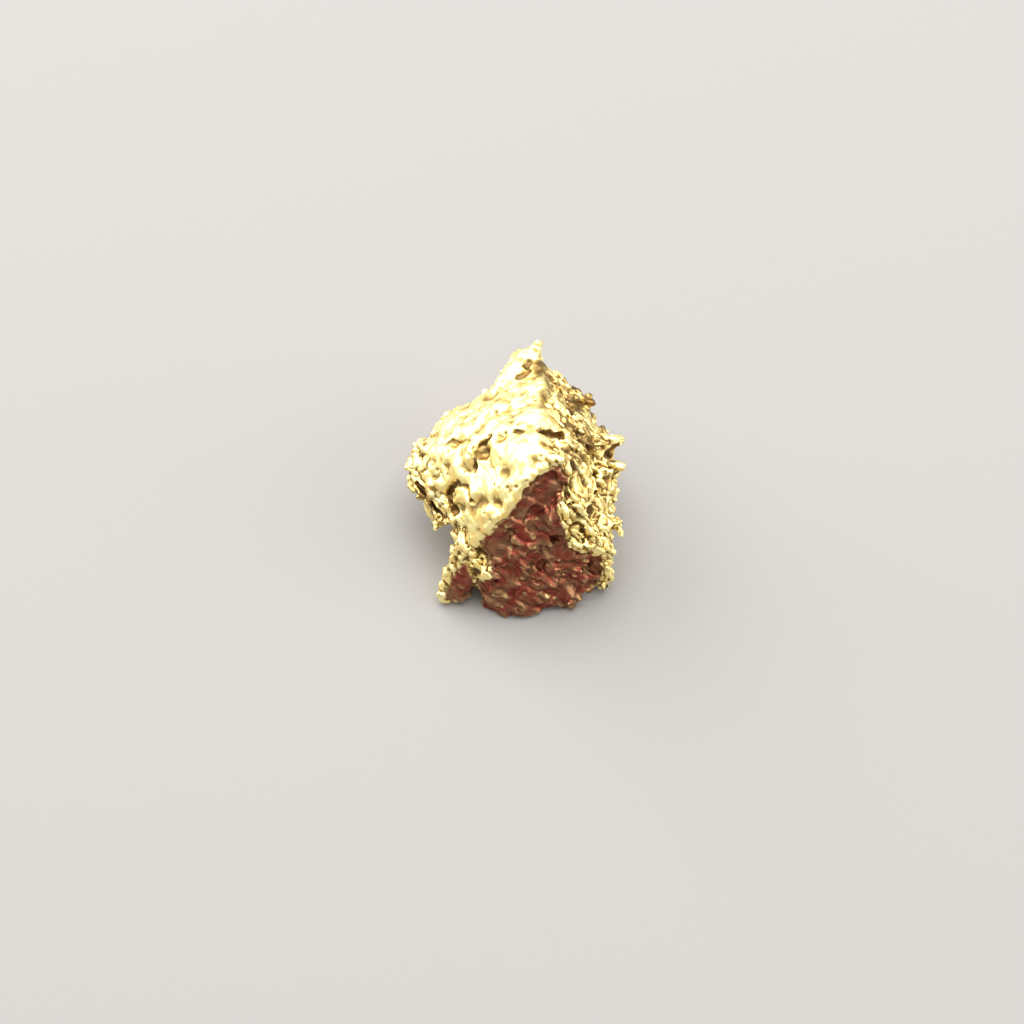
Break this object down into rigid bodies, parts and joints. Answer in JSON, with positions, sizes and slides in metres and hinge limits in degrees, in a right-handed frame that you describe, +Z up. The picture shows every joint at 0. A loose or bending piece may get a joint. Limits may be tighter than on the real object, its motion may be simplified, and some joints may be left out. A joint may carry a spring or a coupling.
{
  "type": "gold nugget",
  "caption": "Rough angular nugget of native gold with granular crystals, pits, small spurs and worn flats that it rests on.",
  "frame": {"origin": "middle of the nugget's box in X and Y, at the level of the small flats that it rests on", "axes": "+Z up from the resting flats and along the shortest side, +Y towards the pointed back end and along the longest side, +X to the right seen from the front"},
  "size_m": [0.0104, 0.0122, 0.0079],
  "materials": {
    "gold": "rough granular native gold, bright and metallic on the crystals, with reddish-brown iron stain in the pits"
  },
  "bodies": {
    "root": {"nugget": "gold"}
  },
  "joints": []
}
